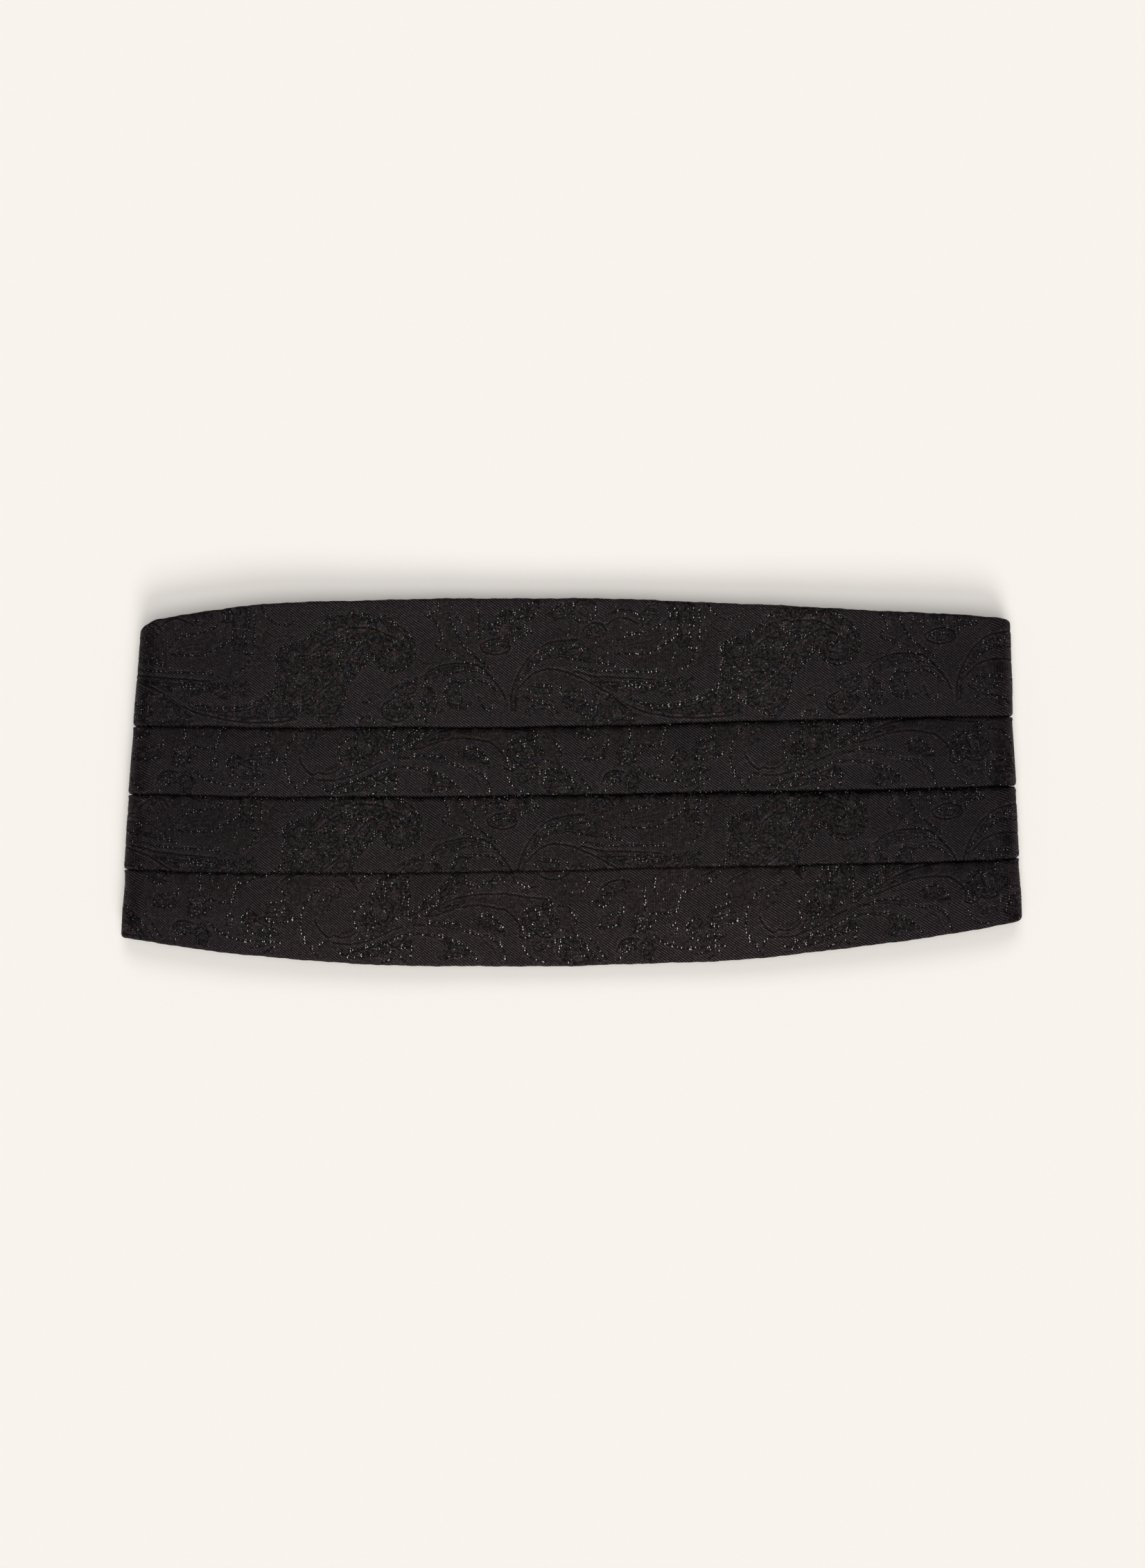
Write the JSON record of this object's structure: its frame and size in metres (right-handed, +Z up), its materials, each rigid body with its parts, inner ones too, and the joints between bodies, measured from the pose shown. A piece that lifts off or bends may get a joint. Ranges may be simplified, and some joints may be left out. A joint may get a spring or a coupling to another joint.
{
  "type": "cummerbund",
  "caption": "Pleated formal waist sash with tapered ends folded under and joined behind by two straps and a plain clasp; lies flat in a loop.",
  "frame": {"origin": "under the middle of the object, on the surface that it lies on", "axes": "+X along the band, to the right as the front is seen; +Y towards its upper edge; +Z up, out of the front's face"},
  "size_m": [0.3118, 0.1278, 0.016],
  "materials": {
    "front_cloth": "black figured jacquard with a satin ground and a soft sheen",
    "strap_webbing": "matt black woven elastic",
    "clasp_metal": "satin black enamel"
  },
  "bodies": {
    "root": {"pleated_front": "front_cloth", "strap_left": "strap_webbing", "strap_right": "strap_webbing", "clasp": "clasp_metal"}
  },
  "joints": []
}
